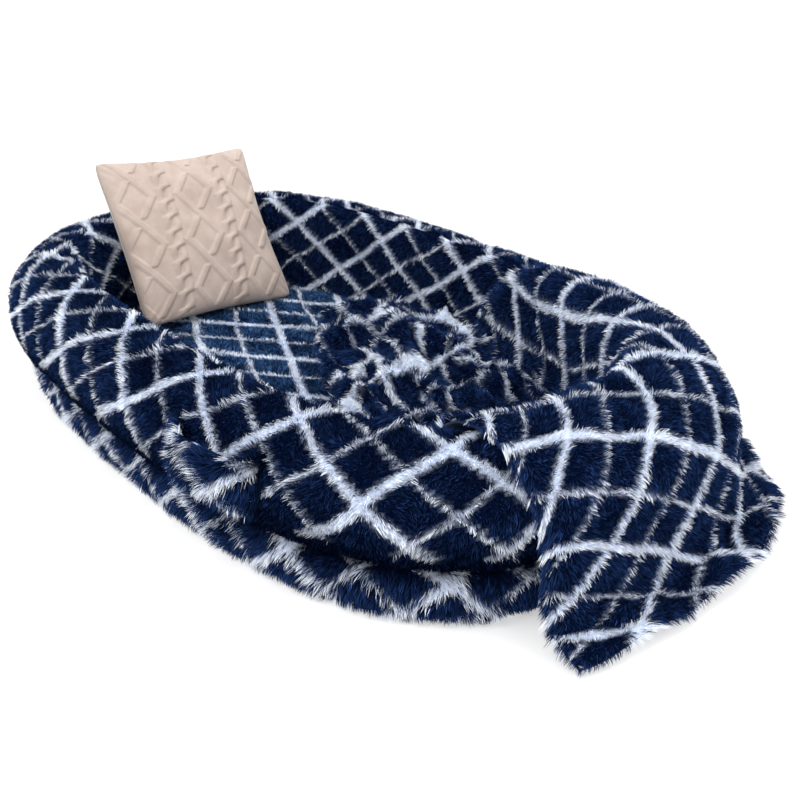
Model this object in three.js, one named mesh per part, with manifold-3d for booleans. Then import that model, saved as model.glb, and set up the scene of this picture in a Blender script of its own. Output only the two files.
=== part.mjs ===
// Oval plush nest bed with its draped blanket and cable-knit pillow.
// Millimetres, +Z up. Origin: centre of the resting face. +X points to the foot end (blanket),
// -X to the head end (pillow), +Y to the back, -Y to the front, where the book pocket is.

import * as THREE from 'three';
import { mergeVertices } from 'three/addons/utils/BufferGeometryUtils.js';
import Module from 'manifold-3d';

const wasm = await Module();
wasm.setup();

// ---- driving dimensions -------------------------------------------------------------------

const BED_HALF_LENGTH = 912;
const BED_HALF_WIDTH = 555;
const OUTLINE_POWER = 2.8;          // superellipse exponent: rounder than a stadium, squarer than an oval
const STATIONS = 40;                // sections round the oval

const RIM_TOP = 315;                // crest of the upper roll
const RIM_BULGE = 163;              // height where the upper roll is widest
const RIM_CREST_INSET = 140;        // crest, measured in from the widest line
const RIM_WALL_INSET = 172;         // foot of the inner wall
const RIM_UNDERSIDE = 128;          // the roll overhangs the base from here
const HEAD_EXTRA_INSET = 58;        // the head end is this much deeper than the sides
const SKIN = 5;                     // plush panel with its backing cloth
const LINER = 1.5;
const FIT = 2;                    // gap between soft layers

const BASE_HEIGHT = 125;
const BASE_INSET = 38;              // the lower roll stands this far inside the upper one
const SOLE_THICKNESS = 3;
const SOLE_INSET = 75;
const BASE_INNER_INSET = 164;

const FOAM_TOP = 50;
const PAD_CORE_TOP = 60;
const PAD_TOP = 68;
const PAD_CROWN = 8;                // the middle of the pad stands this much above its edge

const POCKET_LEFT = 285;
const POCKET_RIGHT = 515;
const POCKET_FLOOR = 172;
const POCKET_MOUTH = 268;
const POCKET_DEPTH = 52;            // how far the mouth stands off the roll
const POCKET_SKIN = 5;

const BLANKET_LIFT = 3;             // clearance under the blanket's lining
const BLANKET_LINING = 2.4;
const BLANKET_PLUSH = 12;
const BUNCH_HEIGHT = 96;            // the loose end piled up in the nest

const PILLOW_SIZE = 430;
const PILLOW_HALF_THICKNESS = 66;
const PILLOW_PULL_IN = 0.05;        // how much the sides curve in between the corners
const PILLOW_CLOTH = 3;
const PILLOW_CENTRE = [-604, 26, 275];
const PILLOW_LEAN = 33;             // degrees back from upright
const PILLOW_YAW = 2;
const PILLOW_ROLL = -3.5;

const ZIP_HALF_LENGTH = 290;
const ZIP_HEIGHT = 60;
const ZIP_TAPE = 14;
const ZIP_COIL = 6;
const PILLOW_ZIP_HALF = 150;

const COLOURS = {
  plush: 0x16284c,
  padPlush: 0x3b5377,
  sole: 0x1b2027,
  foam: 0xe6dcb8,
  fibre: 0xf1f0ea,
  liner: 0xdfe2e6,
  lining: 0x22345a,
  knit: 0xcbb9ae,
  zipTape: 0x131f3c,
  zipMetal: 0x9aa0a6,
};

// ---- mesh helpers -------------------------------------------------------------------------

function finish(positions, indices) {
  const geometry = new THREE.BufferGeometry();
  geometry.setAttribute('position', new THREE.Float32BufferAttribute(positions, 3));
  geometry.setIndex(indices);
  if (signedVolume(positions, indices) < 0) {
    for (let i = 0; i < indices.length; i += 3) {
      const second = indices[i + 1];
      indices[i + 1] = indices[i + 2];
      indices[i + 2] = second;
    }
    geometry.setIndex(indices);
  }
  geometry.computeVertexNormals();
  return geometry;
}

function signedVolume(positions, indices) {
  const a = new THREE.Vector3();
  const b = new THREE.Vector3();
  const c = new THREE.Vector3();
  let total = 0;
  for (let i = 0; i < indices.length; i += 3) {
    a.fromArray(positions, 3 * indices[i]);
    b.fromArray(positions, 3 * indices[i + 1]);
    c.fromArray(positions, 3 * indices[i + 2]);
    total += a.dot(b.cross(c));
  }
  return total / 6;
}

// A closed shell between two grids of points with the same rows and columns.
function shellBetween(upper, lower) {
  const rows = upper.length;
  const columns = upper[0].length;
  const positions = [];
  for (const grid of [upper, lower]) {
    for (const row of grid) {
      for (const point of row) positions.push(...point);
    }
  }
  const at = (side, r, c) => side * rows * columns + r * columns + c;
  const indices = [];
  for (let r = 0; r < rows - 1; r += 1) {
    for (let c = 0; c < columns - 1; c += 1) {
      indices.push(at(0, r, c), at(0, r + 1, c), at(0, r + 1, c + 1));
      indices.push(at(0, r, c), at(0, r + 1, c + 1), at(0, r, c + 1));
      indices.push(at(1, r, c), at(1, r + 1, c + 1), at(1, r + 1, c));
      indices.push(at(1, r, c), at(1, r, c + 1), at(1, r + 1, c + 1));
    }
  }
  const wall = (a, b, c, d) => indices.push(a, b, c, a, c, d);
  for (let r = 0; r < rows - 1; r += 1) {
    wall(at(0, r, 0), at(1, r, 0), at(1, r + 1, 0), at(0, r + 1, 0));
    const last = columns - 1;
    wall(at(0, r, last), at(0, r + 1, last), at(1, r + 1, last), at(1, r, last));
  }
  for (let c = 0; c < columns - 1; c += 1) {
    wall(at(0, 0, c), at(0, 0, c + 1), at(1, 0, c + 1), at(1, 0, c));
    const last = rows - 1;
    wall(at(0, last, c), at(1, last, c), at(1, last, c + 1), at(0, last, c + 1));
  }
  return finish(positions, indices);
}

// ---- the bed's outline --------------------------------------------------------------------

function powerOf(value) {
  return Math.sign(value) * Math.abs(value) ** (2 / OUTLINE_POWER);
}

// How much deeper the section is at this angle: only the head end is thickened.
function headShift(angle, inset) {
  const head = Math.max(0, -Math.cos(angle)) ** 6;
  const reach = THREE.MathUtils.smoothstep(inset, 0, RIM_WALL_INSET);
  return HEAD_EXTRA_INSET * head * reach;
}

function outlinePoint(angle, inset) {
  const shifted = inset + headShift(angle, inset);
  const x = (BED_HALF_LENGTH - shifted) * powerOf(Math.cos(angle));
  const y = (BED_HALF_WIDTH - shifted) * powerOf(Math.sin(angle));
  return [x, y];
}

// Angles that split the outline into stretches of equal length.
function evenAngles(first, last, count, closed) {
  const fine = 2000;
  const angles = [];
  const lengths = [0];
  let previous = outlinePoint(first, 0);
  for (let i = 0; i <= fine; i += 1) {
    const angle = first + (last - first) * i / fine;
    const point = outlinePoint(angle, 0);
    angles.push(angle);
    if (i > 0) lengths.push(lengths[i - 1] + Math.hypot(point[0] - previous[0], point[1] - previous[1]));
    previous = point;
  }
  const pieces = closed ? count : count - 1;
  const result = [];
  let k = 0;
  for (let i = 0; i < count; i += 1) {
    const wanted = lengths[fine] * i / pieces;
    while (k < fine && lengths[k + 1] < wanted) k += 1;
    const part = (wanted - lengths[k]) / Math.max(lengths[Math.min(k + 1, fine)] - lengths[k], 1e-9);
    result.push(THREE.MathUtils.lerp(angles[k], angles[Math.min(k + 1, fine)], part));
  }
  return result;
}

const RING_ANGLES = evenAngles(0, 2 * Math.PI, STATIONS, true);

// How far a plan point lies inside the outline; negative outside.
function insetOf(x, y) {
  let low = -400;
  let high = Math.min(BED_HALF_WIDTH, BED_HALF_LENGTH) - 1;
  for (let i = 0; i < 40; i += 1) {
    const middle = (low + high) / 2;
    const reach = (Math.abs(x) / (BED_HALF_LENGTH - middle)) ** OUTLINE_POWER
      + (Math.abs(y) / (BED_HALF_WIDTH - middle)) ** OUTLINE_POWER;
    if (reach < 1) low = middle;
    else high = middle;
  }
  return low;
}

// A ring whose section is a closed list of [inset, height] points.
function ring(section) {
  const positions = [];
  for (const angle of RING_ANGLES) {
    for (const [inset, height] of section) {
      positions.push(...outlinePoint(angle, inset), height);
    }
  }
  const size = section.length;
  const indices = [];
  for (let s = 0; s < STATIONS; s += 1) {
    const next = (s + 1) % STATIONS;
    for (let k = 0; k < size; k += 1) {
      const after = (k + 1) % size;
      indices.push(s * size + k, next * size + k, next * size + after);
      indices.push(s * size + k, next * size + after, s * size + after);
    }
  }
  return finish(positions, indices);
}

// A slab inside the ring: [inset, height] rows from its underside to its top, closed at the middle.
function slab(rows, underside, top) {
  const positions = [0, 0, underside];
  for (const [inset, height] of rows) {
    for (const angle of RING_ANGLES) positions.push(...outlinePoint(angle, inset), height);
  }
  positions.push(0, 0, top);
  const last = 1 + rows.length * STATIONS;
  const indices = [];
  for (let s = 0; s < STATIONS; s += 1) {
    const next = (s + 1) % STATIONS;
    indices.push(0, 1 + next, 1 + s);
    for (let r = 0; r < rows.length - 1; r += 1) {
      const a = 1 + r * STATIONS;
      const b = a + STATIONS;
      indices.push(a + s, a + next, b + next, a + s, b + next, b + s);
    }
    const a = last - STATIONS;
    indices.push(a + s, a + next, last);
  }
  return finish(positions, indices);
}

// Moves an open [inset, height] line sideways, towards the filling.
function offsetLine(line, distance) {
  return line.map((point, i) => {
    const before = line[Math.max(i - 1, 0)];
    const after = line[Math.min(i + 1, line.length - 1)];
    const run = after[0] - before[0];
    const rise = after[1] - before[1];
    const length = Math.hypot(run, rise);
    return [point[0] + distance * rise / length, point[1] - distance * run / length];
  });
}

// ---- sections -----------------------------------------------------------------------------

// The outer half of the upper roll: under the overhang, round the bulge and up to the crest.
function rimOuterLine() {
  const line = [[62, RIM_UNDERSIDE], [30, RIM_UNDERSIDE + 3], [8, RIM_UNDERSIDE + 16], [0, RIM_BULGE]];
  for (const degrees of [22, 42, 60, 76, 90]) {
    const angle = THREE.MathUtils.degToRad(degrees);
    line.push([
      RIM_CREST_INSET * (1 - Math.cos(angle)),
      RIM_BULGE + (RIM_TOP - RIM_BULGE) * Math.sin(angle),
    ]);
  }
  return line;
}

// The inner half: from the crest down the wall to the pad.
function rimInnerLine() {
  const foot = PAD_TOP + 12;
  const line = [];
  for (const degrees of [0, 18, 38, 60, 90]) {
    const angle = THREE.MathUtils.degToRad(degrees);
    line.push([
      RIM_CREST_INSET + (RIM_WALL_INSET - RIM_CREST_INSET) * Math.sin(angle),
      foot + (RIM_TOP - foot) * Math.cos(angle),
    ]);
  }
  return line;
}

// The lower roll, from under the bed, round its outside, to the top under the upper roll.
function baseLine() {
  const bottom = SOLE_THICKNESS + 0.4;
  return [
    [BASE_INNER_INSET - 20, bottom],
    [BASE_INSET + 34, bottom],
    [BASE_INSET + 10, 14],
    [BASE_INSET, 44],
    [BASE_INSET, 76],
    [BASE_INSET + 8, 104],
    [BASE_INSET + 26, BASE_HEIGHT - 3],
    [BASE_INNER_INSET - 20, BASE_HEIGHT],
  ];
}

function skinOf(line, thickness) {
  return [...line, ...offsetLine(line, thickness).reverse()];
}

// ---- bed ----------------------------------------------------------------------------------

function antiSlipSole() {
  return slab([[SOLE_INSET, 0], [SOLE_INSET, SOLE_THICKNESS]], 0, SOLE_THICKNESS);
}

function baseFilling() {
  const outer = offsetLine(baseLine(), SKIN + FIT);
  outer[0][0] = BASE_INNER_INSET;
  outer[outer.length - 1][0] = BASE_INNER_INSET;
  return ring(outer);
}

function baseFoam() {
  const inset = BASE_INNER_INSET + 3;
  return slab([[inset, SOLE_THICKNESS + FIT], [inset, FOAM_TOP]], SOLE_THICKNESS + FIT, FOAM_TOP);
}

function padCore() {
  const inset = RIM_WALL_INSET + 7;
  const bottom = FOAM_TOP + FIT;
  const rows = [[inset, bottom], [inset, PAD_CORE_TOP - 3], [inset + 60, PAD_CORE_TOP]];
  return slab(rows, bottom, PAD_CORE_TOP + PAD_CROWN - 2);
}

function padCover() {
  const inset = RIM_WALL_INSET + 6;
  const bottom = PAD_CORE_TOP + FIT;
  const rows = [
    [inset + 60, bottom],
    [inset, bottom - 2],
    [inset, PAD_TOP - 2],
    [inset + 70, PAD_TOP + 1],
    [inset + 200, PAD_TOP + PAD_CROWN - 2],
  ];
  return slab(rows, bottom + PAD_CROWN - 2, PAD_TOP + PAD_CROWN);
}

// The two plush panels of the roll meet in a seam along its crest.
function rimPanel(isOuter) {
  const face = [...rimOuterLine(), ...rimInnerLine().slice(1)];
  const back = offsetLine(face, SKIN);
  const seam = rimOuterLine().length - 1;
  if (isOuter) return ring([...face.slice(0, seam + 1), ...back.slice(0, seam + 1).reverse()]);
  const startOf = (line) => {
    const [inset, height] = line[seam];
    const [nextInset, nextHeight] = line[seam + 1];
    const part = 0.05;
    return [THREE.MathUtils.lerp(inset, nextInset, part), THREE.MathUtils.lerp(height, nextHeight, part)];
  };
  const faceRest = [startOf(face), ...face.slice(seam + 1)];
  const backRest = [startOf(back), ...back.slice(seam + 1)];
  return ring([...faceRest, ...backRest.reverse()]);
}

// Both halves as one line that stops above the lower roll, moved in towards the filling.
function rimOpenLine(depth) {
  const outer = rimOuterLine();
  const inner = rimInnerLine().slice(1, -1);
  const end = [RIM_WALL_INSET - 1, RIM_UNDERSIDE];
  return offsetLine([...outer, ...inner, end], depth);
}

function rimLiner() {
  const line = rimOpenLine(SKIN + FIT);
  return ring([...line, ...offsetLine(line, LINER).reverse()]);
}

function rimFilling() {
  return ring(rimOpenLine(SKIN + 2 * FIT + LINER));
}

// ---- book pocket --------------------------------------------------------------------------

// Inset of the upper roll's outer face at a height between its bulge and its crest.
function rimFaceInset(height) {
  const sine = (height - RIM_BULGE) / (RIM_TOP - RIM_BULGE);
  return RIM_CREST_INSET * (1 - Math.sqrt(1 - sine * sine));
}

function frontAngleAt(x) {
  const cosine = (x / BED_HALF_LENGTH) ** (OUTLINE_POWER / 2);
  return -Math.acos(cosine);
}

function bookPocket() {
  const columns = 12;
  const rows = 7;
  const outside = [];
  const inside = [];
  for (let r = 0; r <= rows; r += 1) {
    const up = r / rows;
    const height = THREE.MathUtils.lerp(POCKET_FLOOR, POCKET_MOUTH, up);
    const outsideRow = [];
    const insideRow = [];
    for (let c = 0; c <= columns; c += 1) {
      const across = c / columns;
      const x = THREE.MathUtils.lerp(POCKET_LEFT, POCKET_RIGHT, across);
      const fullness = Math.min(1, 1.5 * Math.sin(Math.PI * across)) * up ** 0.55;
      const standOff = 2 + POCKET_DEPTH * fullness;
      const inset = rimFaceInset(height) - standOff;
      insideRow.push([...outlinePoint(frontAngleAt(x), inset), height]);
      outsideRow.push([...outlinePoint(frontAngleAt(x), inset - POCKET_SKIN), height]);
    }
    inside.push(insideRow);
    outside.push(outsideRow);
  }
  return shellBetween(outside, inside);
}

// ---- cover zip on the back of the lower roll ----------------------------------------------

const ZIP_Y = BED_HALF_WIDTH - BASE_INSET + 1;
const SLIDER_START = ZIP_HALF_LENGTH - 12;
const SLIDER_PLATE = { length: 14, thickness: 2, height: 10 };
const COIL_THICKNESS = 2.2;
const SLIDER_Y = ZIP_Y + 1.5 + COIL_THICKNESS + 0.3;
const CROWN = { halfLength: 4.2, height: 3.9, hole: 2.5, width: 2.4 };
const PULL_AXIS_Y = SLIDER_Y + SLIDER_PLATE.thickness + CROWN.hole / 2;

function box(length, depth, height, centre) {
  const geometry = new THREE.BoxGeometry(length, depth, height);
  geometry.translate(...centre);
  return geometry;
}

function zipTape(side) {
  const z = ZIP_HEIGHT + side * (ZIP_COIL / 2 + 0.3 + ZIP_TAPE / 2);
  return box(2 * ZIP_HALF_LENGTH + 24, 1.2, ZIP_TAPE, [0, ZIP_Y + 0.6, z]);
}

function zipCoil() {
  const y = ZIP_Y + 1.5 + COIL_THICKNESS / 2;
  return box(2 * ZIP_HALF_LENGTH, COIL_THICKNESS, ZIP_COIL, [0, y, ZIP_HEIGHT]);
}

function zipStop(side) {
  const y = ZIP_Y + 1.5 + COIL_THICKNESS / 2;
  return box(4, COIL_THICKNESS + 0.6, ZIP_COIL + 1, [side * (ZIP_HALF_LENGTH + 2.5), y, ZIP_HEIGHT]);
}

function toSolid(geometry) {
  const plain = geometry.clone();
  plain.deleteAttribute('normal');
  plain.deleteAttribute('uv');
  const merged = mergeVertices(plain, 1e-4);
  return new wasm.Manifold(new wasm.Mesh({
    numProp: 3,
    vertProperties: new Float32Array(merged.attributes.position.array),
    triVerts: new Uint32Array(merged.index.array),
  }));
}

function fromSolid(solid) {
  const mesh = solid.getMesh();
  return finish(Array.from(mesh.vertProperties), Array.from(mesh.triVerts));
}

// A flat plate with an arched crown, through which the pull's end bar passes.
function sliderShape() {
  const plate = SLIDER_PLATE;
  const base = toSolid(box(plate.length, plate.thickness, plate.height, [0, plate.thickness / 2, 0]));
  const outline = new THREE.Shape();
  outline.moveTo(-CROWN.halfLength, plate.thickness - 0.5);
  outline.lineTo(CROWN.halfLength, plate.thickness - 0.5);
  outline.lineTo(CROWN.halfLength - 0.8, plate.thickness + CROWN.height);
  outline.lineTo(-CROWN.halfLength + 0.8, plate.thickness + CROWN.height);
  outline.closePath();
  const crownGeometry = new THREE.ExtrudeGeometry(outline, { depth: CROWN.width, bevelEnabled: false });
  crownGeometry.translate(0, 0, -CROWN.width / 2);
  const window = toSolid(box(2 * CROWN.halfLength - 4, CROWN.hole, CROWN.width + 2,
    [0, plate.thickness + CROWN.hole / 2, 0]));
  return fromSolid(base.add(toSolid(crownGeometry).subtract(window)));
}

// A tab with a window near its end; the bar beyond the window turns inside the crown.
function pullShape() {
  const outline = new THREE.Shape();
  const halfWidth = 4;
  const length = 30;
  outline.moveTo(0.8, -halfWidth + 1);
  outline.lineTo(0.8, halfWidth - 1);
  outline.lineTo(-6, halfWidth - 0.6);
  outline.lineTo(-length + halfWidth, halfWidth + 0.5);
  outline.absarc(-length + halfWidth, 0, halfWidth + 0.5, Math.PI / 2, 1.5 * Math.PI, false);
  outline.lineTo(-6, -halfWidth + 0.6);
  outline.closePath();
  const window = new THREE.Path();
  window.moveTo(-0.8, -1.7);
  window.lineTo(-6.6, -1.7);
  window.lineTo(-6.6, 1.7);
  window.lineTo(-0.8, 1.7);
  window.closePath();
  outline.holes.push(window);
  const settings = { depth: 1.2, bevelEnabled: false, curveSegments: 6 };
  const geometry = new THREE.ExtrudeGeometry(outline, settings);
  geometry.translate(0, 0, -0.6);
  geometry.rotateX(Math.PI / 2);
  return geometry;
}

// ---- blanket ------------------------------------------------------------------------------

// Height of the cloth's underside over each inset: nest, inner wall, crest, outside, floor.
const BLANKET_LINE = [
  [520, PAD_TOP + PAD_CROWN + 2], [260, PAD_TOP + PAD_CROWN], [222, PAD_TOP + 14],
  [204, RIM_TOP - 200], [194, RIM_TOP - 140], [186, RIM_TOP - 70], [172, RIM_TOP - 15],
  [150, RIM_TOP + 6], [115, RIM_TOP + 8], [70, RIM_TOP - 6], [25, RIM_TOP - 46],
  [-6, RIM_TOP - 100], [-14, RIM_BULGE], [-17, 120], [-24, 70], [-44, 26], [-80, 8], [-125, 4],
];

function clothHeight(inset) {
  const line = BLANKET_LINE;
  if (inset >= line[0][0]) return line[0][1];
  for (let i = 1; i < line.length; i += 1) {
    if (inset >= line[i][0]) {
      const part = (line[i - 1][0] - inset) / (line[i - 1][0] - line[i][0]);
      return THREE.MathUtils.lerp(line[i - 1][1], line[i][1], part);
    }
  }
  return line[line.length - 1][1];
}

function bunchHeight(x, y, inset) {
  const mound = Math.exp(-(((x - 110) / 260) ** 2) - (((y - 120) / 190) ** 2));
  return BUNCH_HEIGHT * mound * THREE.MathUtils.smoothstep(inset, 190, 300);
}

// Where each lengthwise line of the cloth starts in the nest, bends, and meets the floor.
const BLANKET_START = [[400, -262], [120, -70], [-140, 110], [-215, 315]];
const BLANKET_BEND = [[690, -222], [600, 20], [520, 210], [425, 345]];
const BLANKET_HEM_FIRST = -0.255;
const BLANKET_HEM_LAST = 1.117;
const BLANKET_HEM_INSET = -108;

function curveThrough(points) {
  return new THREE.CatmullRomCurve3(points.map(([x, y]) => new THREE.Vector3(x, y, 0)));
}

function blanketGrid(rows, columns) {
  const starts = curveThrough(BLANKET_START);
  const bends = curveThrough(BLANKET_BEND);
  const hemAngles = evenAngles(BLANKET_HEM_FIRST, BLANKET_HEM_LAST, columns, false);
  const lines = hemAngles.map((angle, c) => {
    const across = c / (columns - 1);
    const hem = new THREE.Vector3(...outlinePoint(angle, BLANKET_HEM_INSET), 0);
    const path = new THREE.QuadraticBezierCurve3(starts.getPoint(across), bends.getPoint(across), hem);
    const fine = path.getPoints(300).map(({ x, y }) => {
      const inset = insetOf(x, y);
      return new THREE.Vector3(x, y, clothHeight(inset) + bunchHeight(x, y, inset) + BLANKET_LIFT);
    });
    return evenlySpaced(fine, rows);
  });
  const grid = [];
  for (let r = 0; r < rows; r += 1) grid.push(lines.map((line) => line[r]));
  return grid;
}

function evenlySpaced(points, count) {
  const lengths = [0];
  for (let i = 1; i < points.length; i += 1) {
    lengths.push(lengths[i - 1] + points[i].distanceTo(points[i - 1]));
  }
  const total = lengths[lengths.length - 1];
  const result = [];
  let k = 0;
  for (let i = 0; i < count; i += 1) {
    const wanted = total * i / (count - 1);
    while (k < points.length - 2 && lengths[k + 1] < wanted) k += 1;
    const part = (wanted - lengths[k]) / (lengths[k + 1] - lengths[k]);
    result.push(points[k].clone().lerp(points[k + 1], part));
  }
  return result;
}

function raised(grid, distance) {
  const last = grid.length - 1;
  return grid.map((row, r) => row.map((point, c) => {
    const along = grid[Math.min(r + 1, last)][c].clone().sub(grid[Math.max(r - 1, 0)][c]);
    const across = row[Math.min(c + 1, row.length - 1)].clone().sub(row[Math.max(c - 1, 0)]);
    const normal = along.cross(across).normalize();
    return point.clone().addScaledVector(normal, distance).toArray();
  }));
}

const BLANKET_GRID = blanketGrid(26, 18);

function blanketLining() {
  return shellBetween(raised(BLANKET_GRID, BLANKET_LINING), raised(BLANKET_GRID, 0));
}

function blanketPlush() {
  const bottom = BLANKET_LINING + FIT;
  return shellBetween(raised(BLANKET_GRID, bottom + BLANKET_PLUSH), raised(BLANKET_GRID, bottom));
}

// ---- pillow -------------------------------------------------------------------------------

// Local frame: X to the viewer's right, Y up the pillow, Z out of its front.
function pillowGrid(size, height, lift) {
  const cells = 12;
  const grid = [];
  for (let r = 0; r <= cells; r += 1) {
    const v = Math.sin(Math.PI * (r / cells - 0.5));
    const row = [];
    for (let c = 0; c <= cells; c += 1) {
      const u = Math.sin(Math.PI * (c / cells - 0.5));
      const x = size / 2 * u * (1 - PILLOW_PULL_IN * (1 - v * v));
      const y = size / 2 * v * (1 - PILLOW_PULL_IN * (1 - u * u));
      const crown = (Math.max(0, 1 - u * u) * Math.max(0, 1 - v * v)) ** 0.42;
      row.push([x, y, height * crown + lift]);
    }
    grid.push(row);
  }
  return grid;
}

function pillowCover(side) {
  const flip = (grid) => grid.map((row) => row.map(([x, y, z]) => [x, y, side * z]));
  const outside = pillowGrid(PILLOW_SIZE, PILLOW_HALF_THICKNESS - PILLOW_CLOTH, PILLOW_CLOTH);
  const inside = pillowGrid(PILLOW_SIZE, PILLOW_HALF_THICKNESS - PILLOW_CLOTH, 0.2);
  return shellBetween(flip(outside), flip(inside));
}

// The filled inner bag, a little smaller than the cover.
function pillowInner() {
  const size = 0.95 * PILLOW_SIZE;
  const height = 0.9 * (PILLOW_HALF_THICKNESS - PILLOW_CLOTH) - 2;
  const front = pillowGrid(size, height, 0.6);
  const back = front.map((row) => row.map(([x, y, z]) => [x, y, -z]));
  return shellBetween(front, back);
}

const PILLOW_ZIP_Y = -PILLOW_SIZE / 2 * 0.86;
const PILLOW_ZIP_Z = -PILLOW_HALF_THICKNESS * 0.60;

function pillowZipChain() {
  return box(2 * PILLOW_ZIP_HALF, 9, 1.6, [0, PILLOW_ZIP_Y, PILLOW_ZIP_Z - 0.8]);
}

function pillowZipSlider() {
  const x = PILLOW_ZIP_HALF - 8;
  return box(9, 7, 2, [x, PILLOW_ZIP_Y, PILLOW_ZIP_Z - 1.6 - 0.3 - 1]);
}

// ---- assembly -----------------------------------------------------------------------------

function material(colour, roughness = 0.95, metalness = 0) {
  return new THREE.MeshStandardMaterial({ color: colour, roughness, metalness, side: THREE.DoubleSide });
}

function named(name, geometry, surface) {
  const mesh = new THREE.Mesh(geometry, surface);
  mesh.name = name;
  return mesh;
}

const plush = material(COLOURS.plush);
const tape = material(COLOURS.zipTape);
const metal = material(COLOURS.zipMetal, 0.35, 0.9);
const knit = material(COLOURS.knit);

const bed = new THREE.Group();
bed.add(
  named('anti_slip_sole', antiSlipSole(), material(COLOURS.sole)),
  named('base_band', ring(skinOf(baseLine(), SKIN)), plush),
  named('base_filling', baseFilling(), material(COLOURS.fibre)),
  named('base_foam', baseFoam(), material(COLOURS.foam)),
  named('pad_core', padCore(), material(COLOURS.fibre)),
  named('pad_cover', padCover(), material(COLOURS.padPlush)),
  named('rim_outer_panel', rimPanel(true), plush),
  named('rim_inner_panel', rimPanel(false), plush),
  named('rim_liner', rimLiner(), material(COLOURS.liner)),
  named('rim_filling', rimFilling(), material(COLOURS.fibre)),
  named('book_pocket', bookPocket(), plush),
  named('zip_tape_upper', zipTape(1), tape),
  named('zip_tape_lower', zipTape(-1), tape),
  named('zip_coil', zipCoil(), tape),
  named('zip_stop_right', zipStop(1), metal),
  named('zip_stop_left', zipStop(-1), metal),
);

const slider = named('zip_slider', sliderShape(), metal);
slider.position.set(SLIDER_START, SLIDER_Y, ZIP_HEIGHT);
const pull = named('zip_pull', pullShape(), metal);
pull.position.set(SLIDER_START, PULL_AXIS_Y, ZIP_HEIGHT);
bed.add(slider, pull);

const blanket = new THREE.Group();
blanket.add(
  named('blanket_plush', blanketPlush(), plush),
  named('blanket_lining', blanketLining(), material(COLOURS.lining)),
);

const pillow = new THREE.Group();
pillow.add(
  named('pillow_front', pillowCover(1), knit),
  named('pillow_back', pillowCover(-1), knit),
  named('pillow_inner', pillowInner(), material(COLOURS.fibre)),
  named('pillow_zip_chain', pillowZipChain(), material(COLOURS.knit)),
  named('pillow_zip_slider', pillowZipSlider(), metal),
);
const upright = new THREE.Matrix4().makeBasis(
  new THREE.Vector3(0, 1, 0),
  new THREE.Vector3(0, 0, 1),
  new THREE.Vector3(1, 0, 0),
);
const turn = new THREE.Matrix4().makeRotationZ(THREE.MathUtils.degToRad(PILLOW_YAW));
const lean = new THREE.Matrix4().makeRotationY(THREE.MathUtils.degToRad(-PILLOW_LEAN));
const roll = new THREE.Matrix4().makeRotationZ(THREE.MathUtils.degToRad(PILLOW_ROLL));
pillow.applyMatrix4(turn.multiply(lean).multiply(upright).multiply(roll));
pillow.position.set(...PILLOW_CENTRE);

const nestBed = new THREE.Group();
nestBed.add(bed, blanket, pillow);

export default nestBed;
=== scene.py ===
"""Looks of the oval plush nest bed: its pile, cloth, knit and zip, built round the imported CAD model.

Metres, +Z up. +X is the foot end with the blanket, -X the head end with the pillow, -Y the front
with the book pocket. Plush surfaces are a cloth skin with a pile of separate strands on it.
"""

import math

import bpy
import numpy as np
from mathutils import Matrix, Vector


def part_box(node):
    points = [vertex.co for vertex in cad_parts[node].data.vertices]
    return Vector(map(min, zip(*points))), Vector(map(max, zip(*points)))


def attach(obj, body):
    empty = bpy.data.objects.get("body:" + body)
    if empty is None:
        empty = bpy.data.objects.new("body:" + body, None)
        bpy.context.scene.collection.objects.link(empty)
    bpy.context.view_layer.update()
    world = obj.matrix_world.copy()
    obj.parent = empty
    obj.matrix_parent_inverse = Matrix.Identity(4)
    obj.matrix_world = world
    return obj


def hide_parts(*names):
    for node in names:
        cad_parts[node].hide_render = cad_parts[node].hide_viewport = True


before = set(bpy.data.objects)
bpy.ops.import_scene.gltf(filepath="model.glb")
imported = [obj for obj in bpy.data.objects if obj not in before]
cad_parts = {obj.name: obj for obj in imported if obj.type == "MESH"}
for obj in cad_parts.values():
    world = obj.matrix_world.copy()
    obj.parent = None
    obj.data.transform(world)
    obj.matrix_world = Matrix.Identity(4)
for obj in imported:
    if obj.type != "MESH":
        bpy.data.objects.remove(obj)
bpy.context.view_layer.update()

# ---- sizes read from the frame

RIM_LOW, RIM_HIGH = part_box("rim_outer_panel")
HALF_LENGTH = RIM_HIGH.x
HALF_WIDTH = RIM_HIGH.y
RIM_TOP = RIM_HIGH.z
RIM_UNDERSIDE = RIM_LOW.z
BAND_LOW, BAND_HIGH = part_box("base_band")
BASE_TOP = BAND_HIGH.z
BASE_FOOT = BAND_LOW.z
BASE_INSET = HALF_WIDTH - BAND_HIGH.y
PAD_LOW, PAD_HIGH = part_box("pad_cover")
PAD_CROWN = 0.008
PAD_EDGE_TOP = PAD_HIGH.z - PAD_CROWN
COIL_LOW, COIL_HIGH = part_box("zip_coil")
ZIP_HEIGHT = (COIL_LOW.z + COIL_HIGH.z) / 2

# ---- the bed's section, as in the CAD model

OUTLINE_POWER = 2.8
RIM_BULGE = 0.163
CREST_INSET = 0.140
WALL_INSET = 0.172
UNDERSIDE_INSET = 0.062
HEAD_EXTRA_INSET = 0.058
WALL_FOOT = PAD_EDGE_TOP + 0.001
BASE_CORE_INSET = 0.144

# ---- pattern and pile

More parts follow.
